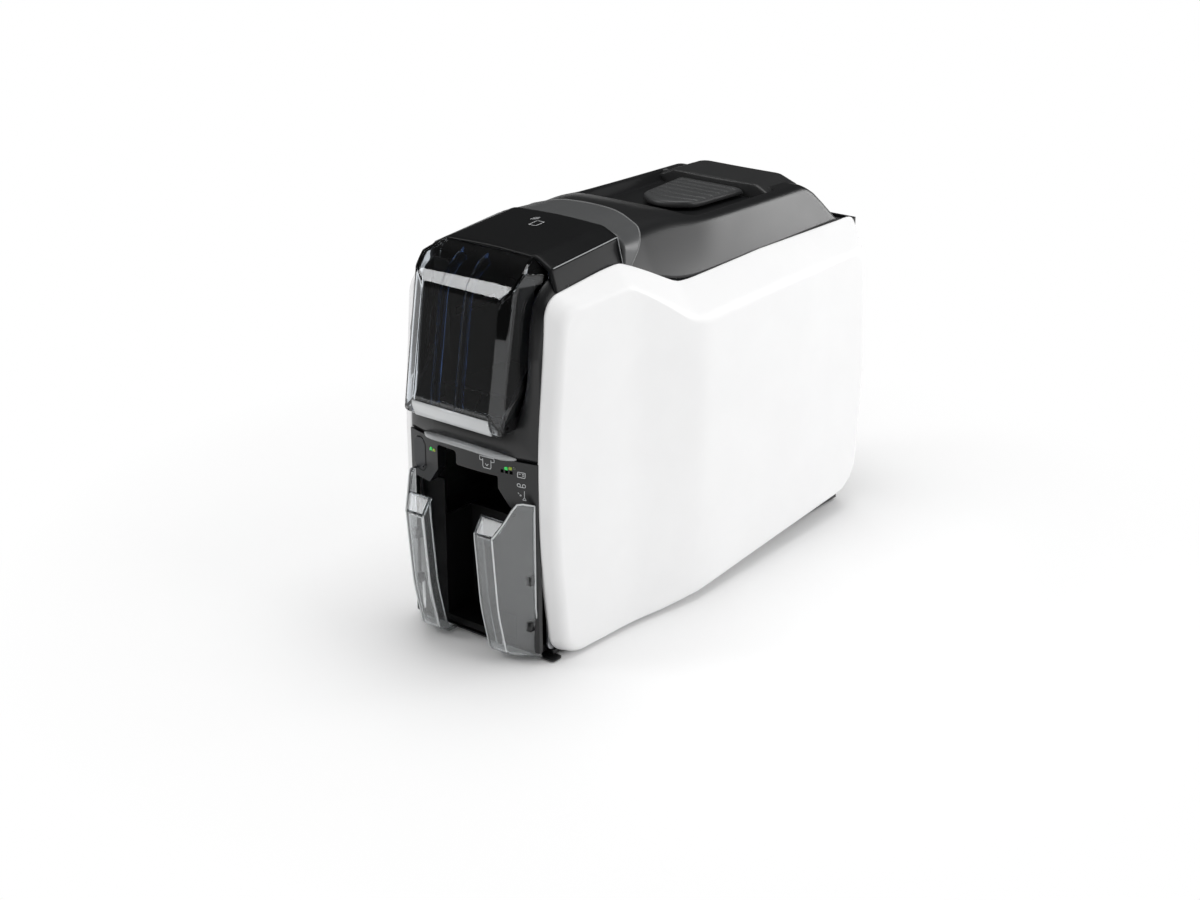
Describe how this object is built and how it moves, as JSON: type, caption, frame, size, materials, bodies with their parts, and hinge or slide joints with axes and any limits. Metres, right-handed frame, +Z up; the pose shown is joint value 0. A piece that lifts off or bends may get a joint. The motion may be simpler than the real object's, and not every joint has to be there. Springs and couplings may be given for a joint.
{
  "type": "id card printer",
  "caption": "Compact desktop id card printer with a clear card hopper door, a lifting top cover and an open clear output hopper at the front.",
  "frame": {"origin": "on the table under the middle of the printer's outer box", "axes": "+Z up, the card hopper faces -Y, +X to the viewer's right"},
  "size_m": [0.158, 0.376, 0.268],
  "materials": {
    "white_shell": "satin",
    "dark_shell": "satin",
    "grey_shell": "satin",
    "black_liner": "matte",
    "clear_grey": "gloss",
    "grey_satin": "satin",
    "button_grey": "satin",
    "light_lens": "gloss",
    "steel": "brushed",
    "bronze": "satin",
    "spring_steel": "satin",
    "rubber": "matte",
    "motor_case": "satin",
    "board_green": "satin",
    "ribbon_film": "gloss",
    "cassette_white": "satin"
  },
  "bodies": {
    "printer": {"right_side_panel": "white_shell", "left_side_panel": "white_shell", "base_tray": "dark_shell", "rubber_feet": "rubber", "right_frame_plate": "steel", "left_frame_plate": "steel", "bearings": "bronze", "frame_ties": "steel", "frame_screws": "steel", "front_bezel": "dark_shell", "lower_fascia": "dark_shell", "power_switch": "black_liner", "status_lights": "light_lens", "feed_lip": "clear_grey", "input_hopper": "black_liner", "front_hood": "dark_shell", "stepper_motors": "motor_case", "drive_belts": "rubber", "ribbon_cassette": "cassette_white", "ribbon_film": "ribbon_film", "output_tray": "black_liner", "right_wing": "clear_grey", "left_wing": "clear_grey", "rear_panel": "dark_shell", "main_board": "board_green", "power_inlet": "black_liner", "usb_socket": "steel", "network_socket": "steel"},
    "door": {"input_door": "clear_grey"},
    "cover": {"top_cover": "grey_shell", "cover_band": "grey_satin", "rear_cap": "grey_shell", "cover_gasket": "rubber", "cover_hinge_pins": "steel", "head_bracket": "steel", "latch_springs": "spring_steel"},
    "latch": {"latch_button": "dark_shell"},
    "hooks": {"latch_hooks": "steel"},
    "head": {"printhead": "motor_case", "head_springs": "spring_steel"},
    "pusher": {"card_pusher": "dark_shell"},
    "button": {"power_button": "button_grey"},
    "platen": {"platen_roller": "rubber"},
    "entry": {"entry_roller": "rubber"},
    "exit": {"exit_roller": "rubber"},
    "main_drive": {"main_motor_pulley": "steel"},
    "pick": {"pick_roller": "rubber"},
    "feed": {"feed_roller": "rubber"},
    "feed_drive": {"feed_motor_pulley": "steel"},
    "drum": {"card_drum": "black_liner"},
    "drum_drive": {"drum_motor_pulley": "steel"},
    "takeup": {"takeup_spool": "cassette_white", "ribbon_drive": "steel"},
    "ribbon_motor": {"ribbon_motor_pulley": "steel"},
    "supply": {"supply_spool": "cassette_white"},
    "entry_pinch": {"entry_pinch_roller": "steel"},
    "exit_pinch": {"exit_pinch_roller": "steel"},
    "cleaner": {"cleaning_roller": "rubber"}
  },
  "joints": [
    {"name": "input_door_swing", "type": "hinge", "parent": "printer", "child": "door", "pos_m": [0, -0.1745, 0.1616], "axis": [1, 0, 0], "range_deg": [0, 70]},
    {"name": "top_cover_swing", "type": "hinge", "parent": "printer", "child": "cover", "pos_m": [0, 0.17146, 0.21628], "axis": [-1, 0, 0], "range_deg": [0, 75]},
    {"name": "latch_press", "type": "slide", "parent": "cover", "child": "latch", "axis": [0, 0, -1], "range_m": [0, 0.0014], "stiffness_N_per_m": 900, "springref_m": -0.001, "deforming": ["latch_springs"]},
    {"name": "latch_hook_swing", "type": "hinge", "parent": "cover", "child": "hooks", "pos_m": [0, 0.02068, 0.24013], "axis": [1, 0, 0], "range_deg": [0, 9]},
    {"name": "head_float", "type": "hinge", "parent": "cover", "child": "head", "pos_m": [0, 0.04399, 0.16509], "axis": [-1, 0, 0], "range_deg": [0, 4], "stiffness_Nm_per_rad": 6, "springref_deg": -1.15, "deforming": ["head_springs"]},
    {"name": "pusher_slide", "type": "slide", "parent": "printer", "child": "pusher", "axis": [0, -1, 0], "range_m": [0, 0.043], "stiffness_N_per_m": 20, "springref_m": -0.02},
    {"name": "power_press", "type": "slide", "parent": "printer", "child": "button", "axis": [0, 1, 0], "range_m": [0, 0.0015], "stiffness_N_per_m": 600, "springref_m": -0.001},
    {"name": "platen_turn", "type": "hinge", "parent": "printer", "child": "platen", "pos_m": [0, 0.02106, 0.11759], "axis": [1, 0, 0], "continuous": true},
    {"name": "entry_turn", "type": "hinge", "parent": "printer", "child": "entry", "pos_m": [0, -0.04437, 0.11759], "axis": [1, 0, 0], "continuous": true},
    {"name": "exit_turn", "type": "hinge", "parent": "printer", "child": "exit", "pos_m": [0, 0.06768, 0.11759], "axis": [1, 0, 0], "continuous": true},
    {"name": "main_motor_turn", "type": "hinge", "parent": "printer", "child": "main_drive", "pos_m": [0, 0.02106, 0.0536], "axis": [1, 0, 0], "continuous": true},
    {"name": "pick_turn", "type": "hinge", "parent": "printer", "child": "pick", "pos_m": [0, -0.0812, 0.2144], "axis": [1, 0, 0], "continuous": true},
    {"name": "feed_turn", "type": "hinge", "parent": "printer", "child": "feed", "pos_m": [0, -0.0842, 0.17795], "axis": [1, 0, 0], "continuous": true},
    {"name": "feed_motor_turn", "type": "hinge", "parent": "printer", "child": "feed_drive", "pos_m": [0, -0.03008, 0.09005], "axis": [1, 0, 0], "continuous": true},
    {"name": "drum_turn", "type": "hinge", "parent": "printer", "child": "drum", "pos_m": [0, -0.09513, 0.12599], "axis": [1, 0, 0], "continuous": true},
    {"name": "drum_motor_turn", "type": "hinge", "parent": "printer", "child": "drum_drive", "pos_m": [0, -0.09513, 0.05012], "axis": [1, 0, 0], "continuous": true},
    {"name": "takeup_turn", "type": "hinge", "parent": "printer", "child": "takeup", "pos_m": [0, 0.06693, 0.17581], "axis": [1, 0, 0], "continuous": true},
    {"name": "ribbon_motor_turn", "type": "hinge", "parent": "printer", "child": "ribbon_motor", "pos_m": [0, 0.06693, 0.09005], "axis": [1, 0, 0], "continuous": true},
    {"name": "supply_turn", "type": "hinge", "parent": "printer", "child": "supply", "pos_m": [0, -0.03309, 0.17581], "axis": [1, 0, 0], "continuous": true},
    {"name": "entry_pinch_turn", "type": "hinge", "parent": "printer", "child": "entry_pinch", "pos_m": [0, -0.04437, 0.13139], "axis": [1, 0, 0], "continuous": true},
    {"name": "exit_pinch_turn", "type": "hinge", "parent": "printer", "child": "exit_pinch", "pos_m": [0, 0.06768, 0.13139], "axis": [1, 0, 0], "continuous": true},
    {"name": "cleaner_turn", "type": "hinge", "parent": "printer", "child": "cleaner", "pos_m": [0, -0.02256, 0.13139], "axis": [1, 0, 0], "continuous": true}
  ],
  "couplings": [
    {"joint": "entry_turn", "follows": "platen_turn", "ratio": 1},
    {"joint": "exit_turn", "follows": "platen_turn", "ratio": 1},
    {"joint": "main_motor_turn", "follows": "platen_turn", "ratio": 1},
    {"joint": "feed_turn", "follows": "pick_turn", "ratio": 1},
    {"joint": "feed_motor_turn", "follows": "pick_turn", "ratio": 1},
    {"joint": "drum_motor_turn", "follows": "drum_turn", "ratio": 1},
    {"joint": "ribbon_motor_turn", "follows": "takeup_turn", "ratio": 1},
    {"joint": "latch_hook_swing", "follows": "latch_press", "rad_per_m": 110}
  ]
}
